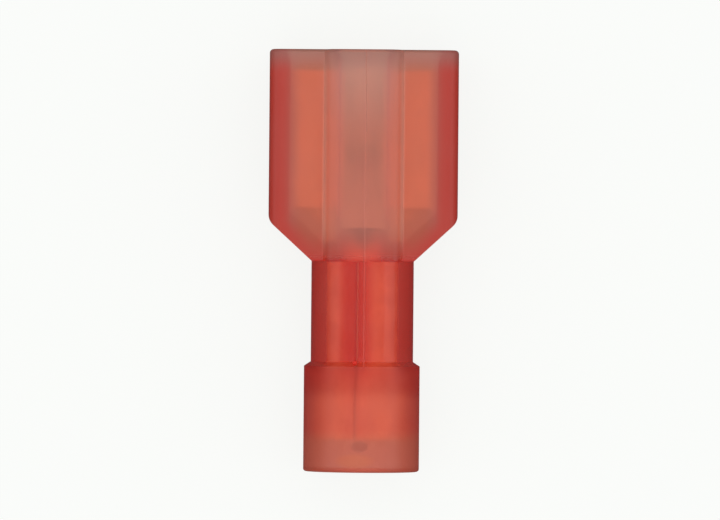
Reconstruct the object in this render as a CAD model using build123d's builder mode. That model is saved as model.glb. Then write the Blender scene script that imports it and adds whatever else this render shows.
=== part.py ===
"""Fully insulated female spade terminal for a 6.35 x 0.8 mm tab.

Three pieces: a moulded housing, a terminal rolled from one sheet inside it,
and a flared sleeve round the terminal's barrel that grips the wire's insulation.
The connector lies on its wide face: +Z is up, the mouth points along +Y and the
wire enters from -Y. Every piece is built round one axis that runs along Y.
"""

from build123d import *
import math
import os

# Tab that the terminal takes
tab_width = 6.35
tab_thickness = 0.8

# Receptacle: flat base with both edges rolled up and over
sheet = 0.4
tab_side_play = 0.125
roll_tip_play = 0.05
roll_height = 2.5
roll_length = 7.04
roll_gap = 1.9
lower_bend_radius = 0.4
upper_bend_radius = 0.85
tip_bend_radius = 0.6

# Locking dimple in the base
dimple_radius = 0.8
dimple_height = 0.35
dimple_setback = 4.4

# Neck of the terminal, from the flat base to the round barrel
taper_length = 1.0
waist_width = 3.8
waist_angle = 3
transition_length = 1.2
half_closed_width = 4.6
half_closed_angle = 110

# Barrel that is crimped on the bare wire
barrel_bore = 2.0
barrel_length = 5.8
barrel_seam_gap = 0.08

# Sleeve that is crimped on the wire's insulation
sleeve_sheet = 0.4
sleeve_fit = 0.04
grip_bore = 3.9
flare_length = 1.8
grip_length = 2.2
sleeve_seam_gap = 0.1
sleeve_seam_round = 0.3
sleeve_seam_turn = 8.9

# Housing: walls and gaps
side_wall = 1.08
face_wall = 0.95
end_wall = 1.0
neck_wall = 0.77
collar_wall = 0.61
cavity_side_gap = 0.1
cavity_face_gap = 0.2
bore_fit = 0.04
passage_fit = 0.05
sleeve_stop_gap = 0.05

# Housing: lengths along the axis
mouth_recess = 1.1
box_length = 8.85
shoulder_length = 2.05
neck_length = 5.21
collar_length = 5.69
step_length = 0.23

# Housing: raised band along both wide faces, with a channel under it
band_width = 4.1
band_land = 2.4
band_rise = 0.6
band_wall = 0.95
channel_width = 2.6
channel_edge_radius = 0.35
roof_length = 0.7

# Housing: edges
box_edge_radius = 0.7
shoulder_corner_radius = 0.75
mouth_edge_radius = 0.2
lead_in_depth = 0.6
lead_in_width = 0.25
collar_edge_radius = 0.15
collar_lead_in = 0.25

# Sizes that follow from the ones above
receptacle_width = tab_width + 2 * (tab_side_play + sheet)
barrel_radius = barrel_bore / 2 + sheet
barrel_middle_radius = barrel_radius - sheet / 2
sleeve_inner_radius = barrel_radius + sleeve_fit
sleeve_outer_radius = sleeve_inner_radius + sleeve_sheet
grip_inner_radius = grip_bore / 2
grip_outer_radius = grip_inner_radius + sleeve_sheet
neck_bore_radius = sleeve_outer_radius + bore_fit
collar_bore_radius = grip_outer_radius + bore_fit
passage_radius = barrel_radius + passage_fit
neck_radius = neck_bore_radius + neck_wall
collar_radius = collar_bore_radius + collar_wall
cavity_half_width = receptacle_width / 2 + cavity_side_gap
cavity_half_height = roll_height / 2 + cavity_face_gap
box_half_width = cavity_half_width + side_wall
box_half_height = cavity_half_height + face_wall
band_half_height = box_half_height + band_rise
channel_half_height = band_half_height - band_wall
axis_height = max(band_half_height, collar_radius)

# Stations along the axis, from the mouth to the wire end
total_length = box_length + shoulder_length + neck_length + collar_length
mouth_y = total_length / 2
shoulder_y = mouth_y - box_length
neck_y = shoulder_y - shoulder_length
collar_y = neck_y - neck_length
end_y = collar_y - collar_length
roll_front_y = mouth_y - mouth_recess
roll_rear_y = roll_front_y - roll_length
dimple_y = roll_front_y - dimple_setback
waist_y = roll_rear_y - taper_length
barrel_front_y = waist_y - transition_length
sleeve_front_y = neck_y - sleeve_stop_gap
flare_front_y = collar_y
flare_rear_y = flare_front_y - flare_length
cavity_end_y = neck_y + end_wall
roof_y = cavity_end_y + roof_length

# Inner shoulder of the cavity, parallel to the outer one
shoulder_turn = math.atan2(box_half_width - neck_radius, shoulder_length)
cavity_turn_y = shoulder_y + side_wall * math.tan(shoulder_turn / 2)
cavity_end_half_width = cavity_half_width - (cavity_turn_y - cavity_end_y) * math.tan(shoulder_turn)

axis = Axis((0, 0, axis_height), (0, 1, 0))
plan = Plane((0, 0, axis_height), x_dir=(1, 0, 0), z_dir=(0, 0, 1))
profile = Plane((0, 0, axis_height), x_dir=(0, 1, 0), z_dir=(1, 0, 0))


def across(y):
    """Plane square to the axis at station y, facing the wire end."""
    return Plane((0, y, axis_height), x_dir=(1, 0, 0), z_dir=(0, -1, 0))


def box_section():
    """Section of the box: a rounded rectangle with a flat-topped, round-shouldered band above and below."""
    foot = (band_width / 2, box_half_height)
    with BuildSketch(across(mouth_y)) as section:
        RectangleRounded(2 * box_half_width, 2 * box_half_height, box_edge_radius)
        with BuildLine():
            Line((0, 0), (0, band_half_height))
            land = Line((0, band_half_height), (band_land / 2, band_half_height))
            TangentArc(land @ 1, foot, tangent=land % 1)
            Line(foot, (band_width / 2, 0))
            Line((band_width / 2, 0), (0, 0))
        make_face()
        mirror(about=Plane.XZ)
        mirror(about=Plane.YZ)
    return section.sketch


def core_section(y, margin=0.0):
    """Section of the core that leaves the cavity: a flat slot with a deeper channel along its middle."""
    with BuildSketch(across(y)) as section:
        Rectangle(2 * (cavity_half_width + margin), 2 * (cavity_half_height + margin))
        RectangleRounded(channel_width + 2 * margin, 2 * (channel_half_height + margin), channel_edge_radius)
    return section.sketch


def symmetric_plan(points, shoulder_radius=0.0):
    """Closed outline in plan from the three points of its right side, mouth first, its shoulders rounded."""
    with BuildSketch(plan) as outline:
        with BuildLine():
            Polyline(*points, *[(-x, y) for x, y in reversed(points)], close=True)
        make_face()
        if shoulder_radius > 0:
            fillet(outline.vertices().group_by(Axis.Y)[1], radius=shoulder_radius)
    return outline.sketch


def strip_section(y, middle_radius, thickness, start_angle, sweep_angle, centre=0.0, edge_round=0.0):
    """Section of a sheet rolled about a line along the axis, over a given angle."""
    with BuildSketch(across(y)) as section:
        with BuildLine():
            outer = CenterArc((0, centre), middle_radius + thickness / 2, start_angle, sweep_angle)
            inner = CenterArc((0, centre), middle_radius - thickness / 2, start_angle, sweep_angle)
            Line(outer @ 0, inner @ 0)
            Line(outer @ 1, inner @ 1)
        make_face()
        if edge_round > 0:
            fillet(section.vertices().sort_by_distance((0, centre))[-2:], radius=edge_round)
    return section.sketch


def half_strip(y, width, angle, bottom):
    """Right half of the terminal's strip, curled up from its middle line at a given height."""
    middle_radius = width / 2 / math.radians(angle)
    return strip_section(y, middle_radius, sheet, 270, angle, centre=bottom + sheet / 2 + middle_radius)


def seamed_ring(y, inner_radius):
    """Section of the sleeve: a closed tube with a butt seam whose outer edges are rounded."""
    middle_radius = inner_radius + sleeve_sheet / 2
    half_angle = closed_angle(middle_radius, sleeve_seam_gap)
    start_angle = 270 + sleeve_seam_turn - half_angle
    return strip_section(
        y, middle_radius, sleeve_sheet, start_angle, 2 * half_angle, edge_round=sleeve_seam_round
    )


def closed_angle(middle_radius, gap):
    """Half of the angle that a rolled tube covers when its butt seam is a given gap wide."""
    return 180 - math.degrees(gap / 2 / middle_radius)


def make_core():
    """The hollow of the box: cavity, channel, roofs that slope to the end wall, and the mouth's lead-in."""
    half_width = cavity_half_width
    cavity_plan = symmetric_plan(
        [
            (half_width, mouth_y),
            (half_width, cavity_turn_y),
            (cavity_end_half_width, cavity_end_y),
        ]
    )
    with BuildSketch(profile) as cavity_profile:
        with BuildLine():
            Polyline(
                (mouth_y, channel_half_height),
                (roof_y, channel_half_height),
                (cavity_end_y, cavity_half_height),
                (cavity_end_y, -cavity_half_height),
                (roof_y, -channel_half_height),
                (mouth_y, -channel_half_height),
                close=True,
            )
        make_face()
    with BuildPart() as core:
        extrude(core_section(mouth_y), amount=mouth_y - cavity_end_y)
        extrude(cavity_plan, amount=channel_half_height, both=True, mode=Mode.INTERSECT)
        extrude(cavity_profile.sketch, amount=half_width, both=True, mode=Mode.INTERSECT)
        loft([core_section(mouth_y, lead_in_width), core_section(mouth_y - lead_in_depth)], ruled=True)
    return core.part


def make_housing():
    """One moulding: box with a raised band on each wide face, sloping shoulders, round neck, collar."""
    box_plan = symmetric_plan(
        [
            (box_half_width, mouth_y),
            (box_half_width, shoulder_y),
            (neck_radius, neck_y),
        ],
        shoulder_radius=shoulder_corner_radius,
    )
    with BuildPart() as housing:
        extrude(box_section(), amount=mouth_y - neck_y)
        extrude(box_plan, amount=band_half_height, both=True, mode=Mode.INTERSECT)
        with BuildSketch(plan):
            with BuildLine():
                Polyline(
                    (0, neck_y),
                    (neck_radius, neck_y),
                    (neck_radius, collar_y),
                    (collar_radius, collar_y - step_length),
                    (collar_radius, end_y),
                    (0, end_y),
                    close=True,
                )
            make_face()
        revolve(axis=axis)
        fillet(housing.edges().group_by(Axis.Y)[0], radius=collar_edge_radius)
        fillet(housing.edges().group_by(Axis.Y)[-1], radius=mouth_edge_radius)
        add(make_core(), mode=Mode.SUBTRACT)
        with BuildSketch(plan):
            with BuildLine():
                Polyline(
                    (0, cavity_end_y),
                    (passage_radius, cavity_end_y),
                    (passage_radius, neck_y),
                    (neck_bore_radius, neck_y),
                    (neck_bore_radius, flare_front_y),
                    (collar_bore_radius, flare_rear_y),
                    (collar_bore_radius, end_y + collar_lead_in),
                    (collar_bore_radius + collar_lead_in, end_y),
                    (0, end_y),
                    close=True,
                )
            make_face()
        revolve(axis=axis, mode=Mode.SUBTRACT)
    housing.part.label = "insulating_housing"
    return housing.part


def rolls_half_section():
    """Right half of the receptacle: flat base, tight lower bend, wide upper bend, tip turned down."""
    sheet_middle = (sheet - roll_height) / 2
    side = (receptacle_width - sheet) / 2
    top = (roll_height - sheet) / 2
    tip = (roll_gap + sheet) / 2
    tip_end = sheet - roll_height / 2 + tab_thickness + roll_tip_play
    with BuildSketch(across(roll_front_y)) as section:
        with BuildLine():
            FilletPolyline(
                (0, sheet_middle),
                (side, sheet_middle),
                (side, top),
                (tip, top),
                (tip, tip_end),
                radius=[lower_bend_radius, upper_bend_radius, tip_bend_radius],
            )
        trace(line_width=sheet)
    return section.sketch


def dimple_cap(growth):
    """Domed solid on the base: the dimple's outside with growth, its hollow underneath without."""
    radius = dimple_radius + growth
    with BuildPart() as cap:
        with BuildSketch(profile):
            with BuildLine():
                bottom = -roll_height / 2
                ThreePointArc(
                    (dimple_y - radius, bottom),
                    (dimple_y, bottom + dimple_height + growth),
                    (dimple_y + radius, bottom),
                )
                Line((dimple_y + radius, bottom), (dimple_y - radius, bottom))
            make_face()
            with Locations((dimple_y + radius, bottom)):
                Rectangle(2 * radius, 4 * radius, mode=Mode.SUBTRACT)
        revolve(axis=Axis((0, dimple_y, 0), (0, 0, 1)))
    return cap.part


def make_terminal():
    """One sheet: flat base with a dimple, both edges rolled over, and a barrel closed behind a neck."""
    base_bottom = -roll_height / 2
    base_half_width = receptacle_width / 2 - sheet / 2 - lower_bend_radius
    barrel_angle = closed_angle(barrel_middle_radius, barrel_seam_gap)
    barrel_width = 2 * barrel_middle_radius * math.radians(barrel_angle)
    half_closed_y = (waist_y + barrel_front_y) / 2
    half_closed_bottom = (base_bottom - barrel_radius) / 2
    waist = half_strip(waist_y, waist_width, waist_angle, base_bottom)
    half_closed = half_strip(half_closed_y, half_closed_width, half_closed_angle, half_closed_bottom)
    barrel_front = half_strip(barrel_front_y, barrel_width, barrel_angle, -barrel_radius)
    with BuildPart() as terminal:
        extrude(rolls_half_section(), amount=roll_length)
        with BuildSketch(plan.offset(base_bottom)):
            with BuildLine():
                Polyline(
                    (0, roll_rear_y),
                    (base_half_width, roll_rear_y),
                    (waist_width / 2, waist_y),
                    (0, waist_y),
                    close=True,
                )
            make_face()
        extrude(amount=sheet)
        loft([waist, half_closed], ruled=True)
        loft([half_closed, barrel_front], ruled=True)
        extrude(barrel_front, amount=barrel_length)
        mirror(about=Plane.YZ)
        add(dimple_cap(sheet))
        add(dimple_cap(0), mode=Mode.SUBTRACT)
    terminal.part.label = "receptacle_terminal"
    return terminal.part


def make_sleeve():
    """One rolled sheet round the barrel, flared over its rear end to take the wire's insulation."""
    flare_rear = seamed_ring(flare_rear_y, grip_inner_radius)
    with BuildPart() as sleeve:
        extrude(seamed_ring(sleeve_front_y, sleeve_inner_radius), amount=sleeve_front_y - flare_front_y)
        loft([seamed_ring(flare_front_y, sleeve_inner_radius), flare_rear], ruled=True)
        extrude(flare_rear, amount=grip_length)
    sleeve.part.label = "grip_sleeve"
    return sleeve.part


os.makedirs("parts", exist_ok=True)
for piece in (make_housing(), make_terminal(), make_sleeve()):
    export_step(piece, f"parts/{piece.label}.step")
    print(piece.label, round(piece.volume, 3), len(piece.solids()), piece.is_valid, piece.bounding_box())
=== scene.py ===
# %% [markdown]
# # A fully insulated female spade terminal, dressed for its portrait
# The connector is three pieces: a moulded nylon housing that lets light through, a receptacle rolled from
# one strip of brass, and a seamed brass sleeve that grips the wire. Their solids come from the packed
# model, in metres, with the wire leaving along -Y and the wide face up. This file gives them their
# surfaces, the parting line and the nib that a mould leaves, a pale table, soft light and a camera
# straight above.

# %% Load the frame
import math
import bpy
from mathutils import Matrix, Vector


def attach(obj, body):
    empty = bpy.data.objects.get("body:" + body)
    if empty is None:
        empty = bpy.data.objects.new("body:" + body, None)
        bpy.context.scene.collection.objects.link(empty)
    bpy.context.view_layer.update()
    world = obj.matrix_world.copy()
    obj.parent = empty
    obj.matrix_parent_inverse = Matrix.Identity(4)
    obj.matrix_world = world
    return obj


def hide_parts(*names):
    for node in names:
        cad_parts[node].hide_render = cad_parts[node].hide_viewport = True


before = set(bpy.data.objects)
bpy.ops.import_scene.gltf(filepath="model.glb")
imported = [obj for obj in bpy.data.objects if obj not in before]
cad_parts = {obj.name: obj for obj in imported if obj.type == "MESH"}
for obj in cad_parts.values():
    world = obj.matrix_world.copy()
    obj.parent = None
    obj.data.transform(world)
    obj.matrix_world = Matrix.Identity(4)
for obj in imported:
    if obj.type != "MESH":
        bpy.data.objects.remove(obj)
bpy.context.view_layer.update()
MM = 0.001
AXIS_HEIGHT = 3 * MM
NECK_RADIUS = 2.65 * MM

# %% [markdown]
# ## Shader maths as sums
# A finish is easier to read as a formula than as a list of links. `Wire` stands for an output socket and
# takes part in sums as a number does. `Shading` makes any other node in one call: its type, settings and
# inputs.

# %% Wires and nodes
class Wire:
    """An output socket that can be added, multiplied and so on, as if it were a number."""

    def __init__(self, shading, socket):
        self.shading = shading
        self.socket = socket

    def math(self, operation, first, second=0.0):
        return self.shading.node("ShaderNodeMath", {"operation": operation}, {0: first, 1: second})

    def __add__(self, other):
        return self.math("ADD", self, other)

    def __radd__(self, other):
        return self.math("ADD", other, self)

    def __sub__(self, other):
        return self.math("SUBTRACT", self, other)

    def __rsub__(self, other):
        return self.math("SUBTRACT", other, self)

    def __mul__(self, other):
        return self.math("MULTIPLY", self, other)

    def __rmul__(self, other):
        return self.math("MULTIPLY", other, self)

    def __abs__(self):
        return self.math("ABSOLUTE", self)


class Shading:
    """A node tree under construction."""

    def __init__(self, owner, output_kind):
        owner.use_nodes = True
        self.owner = owner
        self.tree = owner.node_tree
        self.tree.nodes.clear()
        self.output = self.tree.nodes.new(output_kind)

    def node(self, kind, settings=None, inputs=None, output=0):
        node = self.tree.nodes.new(kind)
        for name, value in (settings or {}).items():
            if name == "stops":
                self.set_stops(node.color_ramp, value)
            else:
                setattr(node, name, value)
        for name, value in (inputs or {}).items():
            if isinstance(value, Wire):
                self.tree.links.new(value.socket, node.inputs[name])
            else:
                node.inputs[name].default_value = value
        return Wire(self, node.outputs[output])

    def set_stops(self, ramp, stops):
        while len(ramp.elements) < len(stops):
            ramp.elements.new(1.0)
        for element, (place, colour) in zip(ramp.elements, stops):
            element.position = place
            element.color = colour

    def mix(self, factor, first, second):
        return self.node("ShaderNodeMix", {"data_type": "RGBA"}, {0: factor, 6: first, 7: second}, output=2)

    def ramp(self, value, low, high, bottom=0.0, top=1.0):
        limits = {"Value": value, "From Min": low, "From Max": high, "To Min": bottom, "To Max": top}
        return self.node("ShaderNodeMapRange", {"interpolation_type": "SMOOTHSTEP"}, limits)

    def noise(self, place, scale):
        return self.node("ShaderNodeTexNoise", inputs={"Vector": place, "Scale": scale, "Detail": 3.0})

    def places(self):
        """The point on the object, and its places across and along in millimetres."""
        point = self.node("ShaderNodeTexCoord", output="Object")
        across = self.node("ShaderNodeSeparateXYZ", inputs={0: point}, output="X") * (1 / MM)
        along = self.node("ShaderNodeSeparateXYZ", inputs={0: point}, output="Y") * (1 / MM)
        return point, across, along

    def close(self, shader, socket="Surface"):
        self.tree.links.new(shader.socket, self.output.inputs[socket])
        return self.owner


def finish(name):
    return Shading(bpy.data.materials.new(name), "ShaderNodeOutputMaterial")


# %% [markdown]
# ## Surfaces that can be worked on
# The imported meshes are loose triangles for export, so they stay as they are and a copy of each is worked
# on. Its coinciding points are joined and its shallow edges are shaded smooth, as a polished mould or a
# rolling die would leave them. The copy takes the place of the plain mesh in the picture and moves with
# the same body.

# %% Copies with joined triangles
SOFT_EDGE = math.radians(25)
JOIN_DISTANCE = 0.0002 * MM


def only(piece):
    bpy.ops.object.select_all(action="DESELECT")
    piece.select_set(True)
    bpy.context.view_layer.objects.active = piece


def worked_copy(node_name, name):
    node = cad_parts[node_name]
    piece = node.copy()
    piece.data = node.data.copy()
    piece.name = name
    bpy.context.scene.collection.objects.link(piece)
    only(piece)
    if piece.data.has_custom_normals:
        bpy.ops.mesh.customdata_custom_splitnormals_clear()
    bpy.ops.object.mode_set(mode="EDIT")
    bpy.ops.mesh.select_all(action="SELECT")
    bpy.ops.mesh.remove_doubles(threshold=JOIN_DISTANCE)
    bpy.ops.object.mode_set(mode="OBJECT")
    bpy.ops.object.shade_smooth_by_angle(angle=SOFT_EDGE)
    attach(piece, "root")
    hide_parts(node_name)
    print(name, "has", len(piece.data.vertices), "points")
    return piece


body = worked_copy("insulating_housing", "moulded_housing")
strip = worked_copy("receptacle_terminal", "rolled_receptacle")
tube = worked_copy("grip_sleeve", "seamed_sleeve")

# %% [markdown]
# ## The mould's parting line
# The photograph shows a fine line a little beside the middle. It is taken for the place where the two
# halves of the mould met, with a hair of flash on the round neck and a faint groove along the flat band.
# Bump would do for a picture, but the line would then be missing from the exported mesh. So the copy is
# cut by three planes side by side, and the points on the middle one are lifted on the neck and pressed in
# on the band, which keeps its height.

# %% Cut and lift the line
PARTING_X = 0.10 * MM
LINE_HALF_WIDTH = 0.04 * MM
LINE_HEIGHT = 0.03 * MM
BAND_HALF_HEIGHT = 3 * MM
NECK_END_Y = -5.6 * MM
BOX_END_Y = 0.05 * MM
SAME_PLACE = 0.01 * MM
CUT_TOLERANCE = 0.0005 * MM

only(body)
bpy.ops.object.mode_set(mode="EDIT")
for x in (PARTING_X - LINE_HALF_WIDTH, PARTING_X, PARTING_X + LINE_HALF_WIDTH):
    bpy.ops.mesh.select_all(action="SELECT")
    bpy.ops.mesh.bisect(plane_co=(x, 0, 0), plane_no=(1, 0, 0), threshold=CUT_TOLERANCE)
bpy.ops.mesh.select_all(action="DESELECT")
bpy.ops.object.mode_set(mode="OBJECT")
lifted = 0
for vertex in body.data.vertices:
    off_axis = vertex.co.z - AXIS_HEIGHT
    side = math.copysign(1, off_axis)
    on_line = abs(vertex.co.x - PARTING_X) < CUT_TOLERANCE
    on_neck = NECK_END_Y < vertex.co.y < BOX_END_Y and abs(abs(off_axis) - NECK_RADIUS) < SAME_PLACE
    on_band = vertex.co.y > BOX_END_Y and abs(abs(off_axis) - BAND_HALF_HEIGHT) < SAME_PLACE
    if on_line and on_neck:
        vertex.co.z += side * LINE_HEIGHT
        lifted += 1
    if on_line and on_band:
        vertex.co.z -= side * LINE_HEIGHT
        lifted += 1
bpy.ops.object.shade_smooth_by_angle(angle=SOFT_EDGE)
print("points moved along the parting line:", lifted)

# %% [markdown]
# ## The gate nib
# A bright speck sits at the collar's step in the photograph. It is taken for the crumb that stays where
# nylon ran into the mould and was broken off. It is a quarter of a millimetre across, so a sphere
# stretched in edit mode is shape enough.

# %% Round the nib
NIB_RADIUS = 0.13 * MM
NIB_STRETCH = (1.0, 1.3, 0.8)
NIB_PLACE = (-0.36 * MM, -5.30 * MM, 5.64 * MM)

bpy.ops.object.select_all(action="DESELECT")
bpy.ops.mesh.primitive_uv_sphere_add(segments=24, ring_count=12, radius=NIB_RADIUS)
nib = bpy.context.active_object
nib.name = "gate_nib"
bpy.ops.object.mode_set(mode="EDIT")
bpy.ops.mesh.select_all(action="SELECT")
bpy.ops.transform.resize(value=NIB_STRETCH, center_override=(0, 0, 0))
bpy.ops.transform.translate(value=NIB_PLACE)
bpy.ops.object.mode_set(mode="OBJECT")
bpy.ops.object.shade_smooth()
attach(nib, "root")
print("the nib's faces:", len(nib.data.polygons))

# %% [markdown]
# ## Which surface is which
# The hollow is taken as matt, as a plain steel core leaves it, and the outside as polished. A face that
# looks towards the long axis was shaped by the core, so the way a face looks tells the two apart without
# a painted mask. The parting line's faces are made milkier and painted a little whiter, a painted
# highlight along the ridge. Both facts go on the faces as numbers that the nylon can read.

# %% Label the faces
LINE_MARK_WEIGHT = 0.4
LOOKS_OUT = 0.5
LOOKS_IN = -0.2

core_side = body.data.attributes.new("core_side", "FLOAT", "FACE")
rough_line = body.data.attributes.new("rough_line", "FLOAT", "FACE")
for face in body.data.polygons:
    outward = Vector((face.center.x, 0, face.center.z - AXIS_HEIGHT))
    facing = face.normal.dot(outward.normalized())
    near_line = abs(face.center.x - PARTING_X) < LINE_HALF_WIDTH and face.center.y > NECK_END_Y
    core_side.data[face.index].value = 1.0 if facing < LOOKS_IN else 0.0
    # The parting line's faces get a mark, which the nylon reads for its painted highlight and extra milk.
    rough_line.data[face.index].value = LINE_MARK_WEIGHT * (near_line and facing > LOOKS_OUT)
print("faces shaped by the core:", sum(item.value > 0 for item in core_side.data))
print("faces of the parting line:", sum(item.value > 0 for item in rough_line.data))

# %% [markdown]
# ## Red nylon
# Coloured nylon is between glass and milk: part of the light goes through and comes back off the brass,
# part is scattered in the wall. So each outer face is a mix of clear nylon, which absorbs green and blue
# on the way, and milky nylon. The milk is deep red where the wall is round and solid. Its tones by place
# also hold painted light and shade. It is painted paler where a thin wall lies over the hollow, over the
# rolled edges of the strip and along the band, as painted light through the wall and off the brass, with
# a painted highlight line along the band's edge. Near the open mouth it is painted palest, painted light
# coming in there, with painted shade on the lip. The collar has painted shade beside its step, a spot of
# painted shade and a patch of painted brass light near its end, and is painted paler at its open end. A
# light ray on its way to a lamp passes as through a red veil, so the brass inside is lit.
#
# Places are in millimetres from the middle: `aside` across the connector, `along` towards the mouth. A
# START or a FADE says where a change of tone sets in and where it is complete. A PLACE and a SIZE are a
# spot's middle and half widths. The tones were chosen by comparing the render with the photograph place
# by place.

# %% The nylon's tones
NECK_TONE = (1.0, 0.008, 0.004, 1)
SOLID_WALL = (1.0, 0.10, 0.07, 1)
COLLAR_TONE = (0.98, 0.085, 0.055, 1)
# Painted shade on the collar beside its step to the neck.
PAINTED_STEP_SHADE = (0.83, 0.03, 0.02, 1)
# Painted light: the collar is painted paler towards its open end, where light comes through the thin wall.
PAINTED_COLLAR_END_LIGHT = (0.92, 0.15, 0.085, 1)
# Painted light near the open mouth, where light comes in: the milk is painted paler there.
PAINTED_MOUTH_LIGHT = (0.76, 0.46, 0.38, 1)
# Painted shade at the mouth's lip, where no brass lies behind the wall.
PAINTED_LIP_SHADE = (0.58, 0.32, 0.27, 1)
HAZE = (1.0, 0.42, 0.34, 1)
CORE_FROST = (0.66, 0.60, 0.52, 1)
# Painted light of the brass seen through the collar near its end.
PAINTED_BRASS_GLOW = (1.0, 0.17, 0.06, 1)
# Painted shade: a dark spot on the collar near its end.
PAINTED_COLLAR_SHADE = (0.60, 0.07, 0.04, 1)

BAND_FADE = (0.8, 2.6)
MOUTH_LIGHT_START = (5.6, 10.0)
MOUTH_LIGHT_SHARE = 0.9
SHOULDER_SLOPE = 0.75
SHOULDER_HALF_WIDTH = 2.35
HOLLOW_HALF_WIDTH = 3.9
HOLLOW_FADE = (-0.6, 0.5)
HOLLOW_START = (-0.3, 1.8)
LIP_SHADE_START = (9.6, 10.8)
LIP_SHADE_SHARE = 0.8
BOX_START = (-0.1, 0.2)
NECK_START = (-5.5, -5.25)
STEP_SHADE_START = (-7.4, -6.5)
COLLAR_START = (-9.4, -8.6)
SHADE_SPOT_PLACE = (-0.10, -9.55)
SHADE_SPOT_SIZE = (0.55, 0.35)
SHADE_SPOT_SHARE = 0.7
GLOW_PLACE = (-0.35, -10.3)
GLOW_SIZE = (1.2, 0.42)
SPOT_CORE = 0.2

ACROSS_SPAN = 5.0
# Tones across the box, from the middle out. The paler ones are painted light coming through the thin wall
# over the hollow and off the brass of the rolled edges. The pale stop at 2.0 mm is a painted highlight line
# along the band's edge.
ACROSS_TONES = [
    (0.0, (0.76, 0.29, 0.22, 1)),
    (1.0, (0.79, 0.30, 0.22, 1)),
    (1.35, (0.88, 0.33, 0.23, 1)),
    (1.85, (0.92, 0.32, 0.21, 1)),
    (2.0, (1.0, 0.58, 0.45, 1)),
    (2.16, (0.84, 0.22, 0.12, 1)),
    (3.2, (0.84, 0.21, 0.12, 1)),
    (3.75, (0.78, 0.25, 0.18, 1)),
    (4.3, SOLID_WALL),
]


# %% The nylon
def spot(f, across, along, place, half_size):
    """One inside an oval, fading to nought outside it."""
    wide = (across - place[0]) * (1 / half_size[0])
    long = (along - place[1]) * (1 / half_size[1])
    return f.ramp(wide * wide + long * long, SPOT_CORE, 1.0, 1.0, 0.0)


def outer_tone(f, across, along):
    """The milk's colour on the outside by place, painted light and painted shade included."""
    aside = abs(across)
    stops = [(at / ACROSS_SPAN, tone) for at, tone in ACROSS_TONES]
    over_hollow = f.node("ShaderNodeValToRGB", {"stops": stops}, {"Fac": aside * (1 / ACROSS_SPAN)})
    # Painted light: the milk turns paler towards the open mouth, over the band.
    near_mouth = f.ramp(along, *MOUTH_LIGHT_START) * f.ramp(aside, *BAND_FADE, 1.0, 0.0)
    mouth_lit = f.mix(near_mouth * MOUTH_LIGHT_SHARE, over_hollow, PAINTED_MOUTH_LIGHT)
    shoulder = SHOULDER_SLOPE * along + SHOULDER_HALF_WIDTH
    hollow_edge = f.node("ShaderNodeMath", {"operation": "MINIMUM"}, {0: shoulder, 1: HOLLOW_HALF_WIDTH})
    # Over the hollow the milk takes the paler tones across, painted light through the thin wall. Elsewhere
    # it keeps the solid wall's deep red.
    hollow = f.ramp(aside - hollow_edge, *HOLLOW_FADE, 1.0, 0.0) * f.ramp(along, *HOLLOW_START)
    box = f.mix(hollow, SOLID_WALL, mouth_lit)
    # Painted shade along the mouth's lip.
    lip_shaded = f.mix(f.ramp(along, *LIP_SHADE_START) * LIP_SHADE_SHARE, box, PAINTED_LIP_SHADE)
    front = f.mix(f.ramp(along, *BOX_START), NECK_TONE, lip_shaded)
    # Painted light towards the collar's open end.
    collar = f.mix(f.ramp(along, *COLLAR_START), PAINTED_COLLAR_END_LIGHT, COLLAR_TONE)
    # A spot of painted shade on the collar.
    shade_spot = spot(f, across, along, SHADE_SPOT_PLACE, SHADE_SPOT_SIZE) * SHADE_SPOT_SHARE
    collar_shaded = f.mix(shade_spot, collar, PAINTED_COLLAR_SHADE)
    # A patch of painted brass light on the collar.
    brass_glowing = f.mix(spot(f, across, along, GLOW_PLACE, GLOW_SIZE), collar_shaded, PAINTED_BRASS_GLOW)
    # Painted shade on the collar next to its step.
    step_shaded = f.mix(f.ramp(along, *STEP_SHADE_START), brass_glowing, PAINTED_STEP_SHADE)
    return f.mix(f.ramp(along, *NECK_START), step_shaded, front)


MILK_SHARE = 0.40
COLLAR_EXTRA = 0.08
LINE_EXTRA = 0.2
LINE_SHEEN_SHARE = 0.5
CLOUD_SCALE = 420.0
CLOUD_LIMITS = (0.35, 0.75)
CLOUD_HAZE = 0.06
GRAIN_SCALE = 5200.0
GRAIN_HAZE = 0.04
GRAIN_HEIGHT = 0.01 * MM
REFRACTIVE_INDEX = 1.45
CLEAR_TINT = (0.95, 0.84, 0.78, 1)
CLEAR_ROUGHNESS = 0.32
CLOUD_ROUGHNESS = 0.06
NECK_POLISH = 0.24
POLISH_START = (-5.6, -5.2)
POLISH_END = (0.0, 0.4)
EXTRA_END = (-5.8, -5.3)
VEIL = (0.88, 0.66, 0.56, 1)
DEPTH_COLOUR = (0.97, 0.3, 0.2, 1)
DEPTH_DENSITY = 890.0


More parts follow.
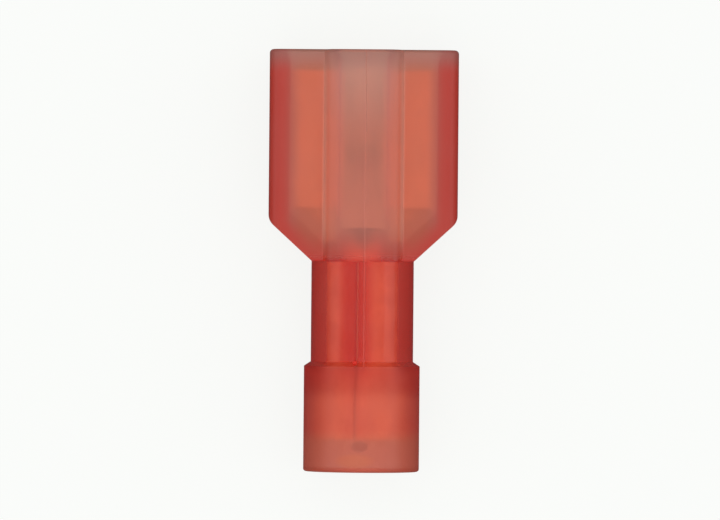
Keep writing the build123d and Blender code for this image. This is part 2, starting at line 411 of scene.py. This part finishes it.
def red_nylon():
    f = finish("red_nylon")
    place, across, along = f.places()
    clouds = f.noise(place, CLOUD_SCALE)
    grain = f.noise(place, GRAIN_SCALE)
    back = f.node("ShaderNodeNewGeometry", output="Backfacing")
    core = f.node("ShaderNodeAttribute", {"attribute_name": "core_side"}, output="Fac")
    on_parting_line = f.node("ShaderNodeAttribute", {"attribute_name": "rough_line"}, output="Fac")
    # Painted highlight: the parting line's faces are painted whiter.
    outer = f.mix(on_parting_line * LINE_SHEEN_SHARE, outer_tone(f, across, along), HAZE)
    mottled = f.mix(f.ramp(clouds, *CLOUD_LIMITS) * CLOUD_HAZE + grain * GRAIN_HAZE, outer, HAZE)
    milk = f.mix(core, mottled, CORE_FROST)
    neck = f.ramp(along, *POLISH_START) * f.ramp(along, *POLISH_END, 1.0, 0.0)
    collar = f.ramp(along, *EXTRA_END, 1.0, 0.0)
    dimpled = f.node("ShaderNodeBump", inputs={"Strength": 0.15, "Distance": GRAIN_HEIGHT, "Height": grain})
    clear = f.node(
        "ShaderNodeBsdfPrincipled",
        inputs={
            "Base Color": CLEAR_TINT,
            "Roughness": CLEAR_ROUGHNESS + CLOUD_ROUGHNESS * clouds - NECK_POLISH * neck,
            "IOR": REFRACTIVE_INDEX,
            "Transmission Weight": 1.0,
        },
    )
    milky = f.node(
        "ShaderNodeBsdfPrincipled",
        inputs={
            "Base Color": milk,
            "Roughness": 0.4,
            "IOR": REFRACTIVE_INDEX,
            "Specular IOR Level": 0.1,
            "Normal": dimpled,
        },
    )
    share = (MILK_SHARE + COLLAR_EXTRA * collar + LINE_EXTRA * on_parting_line) * (1 - back)
    mixed = f.node("ShaderNodeMixShader", inputs={0: share, 1: clear, 2: milky})
    shadow = f.node("ShaderNodeLightPath", output="Is Shadow Ray")
    veil = f.node("ShaderNodeBsdfTransparent", inputs={"Color": VEIL})
    lit = f.node("ShaderNodeMixShader", inputs={0: shadow, 1: mixed, 2: veil})
    depth = f.node("ShaderNodeVolumeAbsorption", inputs={"Color": DEPTH_COLOUR, "Density": DEPTH_DENSITY})
    f.close(depth, "Volume")
    return f.close(lit)


def dress(piece, material):
    piece.data.materials.clear()
    piece.data.materials.append(material)


nylon = red_nylon()
dress(body, nylon)
dress(nib, nylon)
print("the nylon has", len(nylon.node_tree.nodes), "nodes")

# %% [markdown]
# ## Brass
# The strip is stamped and rolled, so its yellow metal is satin with a faint cloudiness. The sleeve is
# rolled too and closed along a seam. The photograph shows a redder stripe down the neck, and it is taken
# for that seam: beside it the sleeve's brass is painted darker and redder, as painted shade in the seam.
# One function makes both metals, and only the sleeve's has the painted seam shade.

# %% Dress the brass
SEAM_X = -0.30
SEAM_FADE = (0.25, 0.95)
SEAM_START = (-6.4, -4.6)
SEAM_UNDER_COLLAR = 0.15
# Painted shade beside the sleeve's seam: darker and redder brass.
PAINTED_SEAM_SHADE = (0.66, 0.26, 0.14, 1)
STRIP_BRASS = (0.88, 0.80, 0.54, 1)
STRIP_ROUGHNESS = 0.5
SLEEVE_BRASS = (0.86, 0.80, 0.60, 1)
SLEEVE_ROUGHNESS = 0.75
METAL_CLOUD_SCALE = 900.0
METAL_CLOUD_LIMITS = (0.3, 0.7)
METAL_CLOUD_ROUGHNESS = 0.1
BRIGHTENED = 1.12


def brass(name, tint, roughness, seam=False):
    f = finish(name)
    place, across, along = f.places()
    clouds = f.noise(place, METAL_CLOUD_SCALE)
    bright = tuple(min(1.0, BRIGHTENED * part) for part in tint[:3]) + (1,)
    colour = f.mix(f.ramp(clouds, *METAL_CLOUD_LIMITS), tint, bright)
    if seam:
        # Painted shade along the seam, fading out under the collar.
        beside = f.ramp(abs(across - SEAM_X), *SEAM_FADE, 1.0, 0.0)
        seam_shade = beside * f.ramp(along, *SEAM_START, SEAM_UNDER_COLLAR, 1.0)
        colour = f.mix(seam_shade, colour, PAINTED_SEAM_SHADE)
    satin = roughness + METAL_CLOUD_ROUGHNESS * clouds
    metal = f.node(
        "ShaderNodeBsdfPrincipled", inputs={"Base Color": colour, "Metallic": 1.0, "Roughness": satin}
    )
    return f.close(metal)


dress(strip, brass("terminal_brass", STRIP_BRASS, STRIP_ROUGHNESS))
dress(tube, brass("sleeve_brass", SLEEVE_BRASS, SLEEVE_ROUGHNESS, seam=True))
print("dressed in brass:", strip.name, "and", tube.name)

# %% [markdown]
# ## Table and room
# The photograph's ground is nearly white, yet the nylon's sides are dark, as if little light came up from
# it. So the table is pale to the camera and darker to the rays that light the connector, with a small
# share of the pale ground left for what metal and nylon show of it. The room is brightest overhead.

# %% Pale to the camera
PALE = (0.985, 1.0, 0.98, 1)
TABLE_SIZE = 600 * MM
TABLE_GAP = 0.02 * MM
TABLE_SEEN = (0.95, 0.96, 0.94, 1)
TABLE_BOUNCE = (0.06, 0.06, 0.06, 1)
CAMERA_GLOW = 0.85
THROUGH_GLOW = 0.13
GLOSS_GLOW = 0.05


def pale_table():
    f = finish("pale_table")
    camera = f.node("ShaderNodeLightPath", output="Is Camera Ray")
    glossy = f.node("ShaderNodeLightPath", output="Is Glossy Ray")
    through = f.node("ShaderNodeLightPath", output="Is Transmission Ray")
    below = f.node("ShaderNodeNewGeometry", output="Backfacing")
    tone = f.mix(camera, TABLE_BOUNCE, TABLE_SEEN)
    matt = f.node("ShaderNodeBsdfDiffuse", inputs={"Color": tone})
    glow = f.node("ShaderNodeEmission", inputs={"Color": PALE, "Strength": 1.0})
    shown = camera * CAMERA_GLOW + through * THROUGH_GLOW + glossy * GLOSS_GLOW
    above = f.node("ShaderNodeMixShader", inputs={0: shown, 1: matt, 2: glow})
    unseen = f.node("ShaderNodeBsdfTransparent")
    return f.close(f.node("ShaderNodeMixShader", inputs={0: below, 1: above, 2: unseen}))


bpy.ops.object.select_all(action="DESELECT")
bpy.ops.mesh.primitive_plane_add(size=TABLE_SIZE, location=(0, 0, -TABLE_GAP))
table = bpy.context.active_object
table.name = "table"
dress(table, pale_table())

# %% The room
WALL_TONES = [(0.0, (0.28, 0.28, 0.29, 1)), (0.6, (0.69, 0.69, 0.70, 1)), (1.0, (1.0, 1.0, 1.0, 1))]
WHITE = (1, 1, 1, 1)
CEILING_STRENGTH = 1.08
CEILING_START = (0.6, 1.0)
GROUND_SHARE = 0.05

world = bpy.data.worlds.new("studio")
bpy.context.scene.world = world
room = Shading(world, "ShaderNodeOutputWorld")
direction = room.node("ShaderNodeTexCoord")
height = room.node("ShaderNodeSeparateXYZ", inputs={0: direction}, output="Z")
walls = room.node("ShaderNodeValToRGB", {"stops": WALL_TONES}, {"Fac": height})
lit_walls = room.node("ShaderNodeBackground", inputs={"Color": walls, "Strength": 1.0})
ceiling = room.node("ShaderNodeBackground", inputs={"Color": WHITE, "Strength": CEILING_STRENGTH})
near_top = room.ramp(height, *CEILING_START)
overhead = room.node("ShaderNodeMixShader", inputs={0: near_top, 1: lit_walls, 2: ceiling})
pale = room.node("ShaderNodeBackground", inputs={"Color": PALE, "Strength": 1.0})
to_camera = room.node("ShaderNodeLightPath", output="Is Camera Ray")
to_gloss = room.node("ShaderNodeLightPath", output="Is Glossy Ray")
to_nylon = room.node("ShaderNodeLightPath", output="Is Transmission Ray")
seen = to_camera + GROUND_SHARE * to_gloss + GROUND_SHARE * to_nylon
room.close(room.node("ShaderNodeMixShader", inputs={0: seen, 1: overhead, 2: pale}))
print("the room has", len(room.tree.nodes), "nodes")

# %% [markdown]
# ## Softboxes
# Two large soft lights stand low at the sides, the right one a little stronger, as the photograph's right
# side is a little lighter.

# %% Stand the softboxes
def softbox(name, place, target, size, strength):
    lamp = bpy.data.lights.new(name, "AREA")
    lamp.shape = "SQUARE"
    lamp.size = size
    lamp.energy = strength
    holder = bpy.data.objects.new(name, lamp)
    bpy.context.scene.collection.objects.link(holder)
    holder.location = place
    holder.rotation_euler = (Vector(target) - Vector(place)).to_track_quat("-Z", "Y").to_euler()


LAMP_SIDE = 260 * MM
LAMP_HEIGHT = 130 * MM
LAMP_SIZE = 140 * MM
LEFT_POWER = 0.045
RIGHT_POWER = 0.06
softbox("left_softbox", (-LAMP_SIDE, 0, LAMP_HEIGHT), (0, 0, AXIS_HEIGHT), LAMP_SIZE, LEFT_POWER)
softbox("right_softbox", (LAMP_SIDE, 0, LAMP_HEIGHT), (0, 0, AXIS_HEIGHT), LAMP_SIZE, RIGHT_POWER)
print("lamps:", len(bpy.data.lights))

# %% [markdown]
# ## The camera
# The photograph looks straight down from afar. Its scale is 19.3 pixels to a millimetre at the
# connector's middle height, the connector's centre is at pixel (362.7, 261), and the picture is turned by
# half a degree. A long lens high above shows hardly any perspective, so the upright sides stay hidden.

# %% Stand the camera
PHOTO_SCALE = 19.3
PHOTO_CENTRE = (362.7, 261)
PICTURE_SIZE = (720, 520)
PHOTO_TURN = math.radians(0.49)
CAMERA_HEIGHT = 400 * MM
SENSOR_WIDTH = 36
CLIP_START = 10 * MM

lens = bpy.data.cameras.new("camera")
lens.sensor_width = SENSOR_WIDTH
lens.lens = SENSOR_WIDTH * CAMERA_HEIGHT / (PICTURE_SIZE[0] / PHOTO_SCALE * MM)
lens.clip_start = CLIP_START
camera = bpy.data.objects.new("camera", lens)
bpy.context.scene.collection.objects.link(camera)
camera.location = (
    (PICTURE_SIZE[0] / 2 - PHOTO_CENTRE[0]) / PHOTO_SCALE * MM,
    (PHOTO_CENTRE[1] - PICTURE_SIZE[1] / 2) / PHOTO_SCALE * MM,
    AXIS_HEIGHT + CAMERA_HEIGHT,
)
camera.rotation_euler = (0, 0, PHOTO_TURN)
bpy.context.scene.camera = camera
bpy.context.scene.view_settings.view_transform = "Standard"
print("lens, mm:", round(lens.lens, 1))
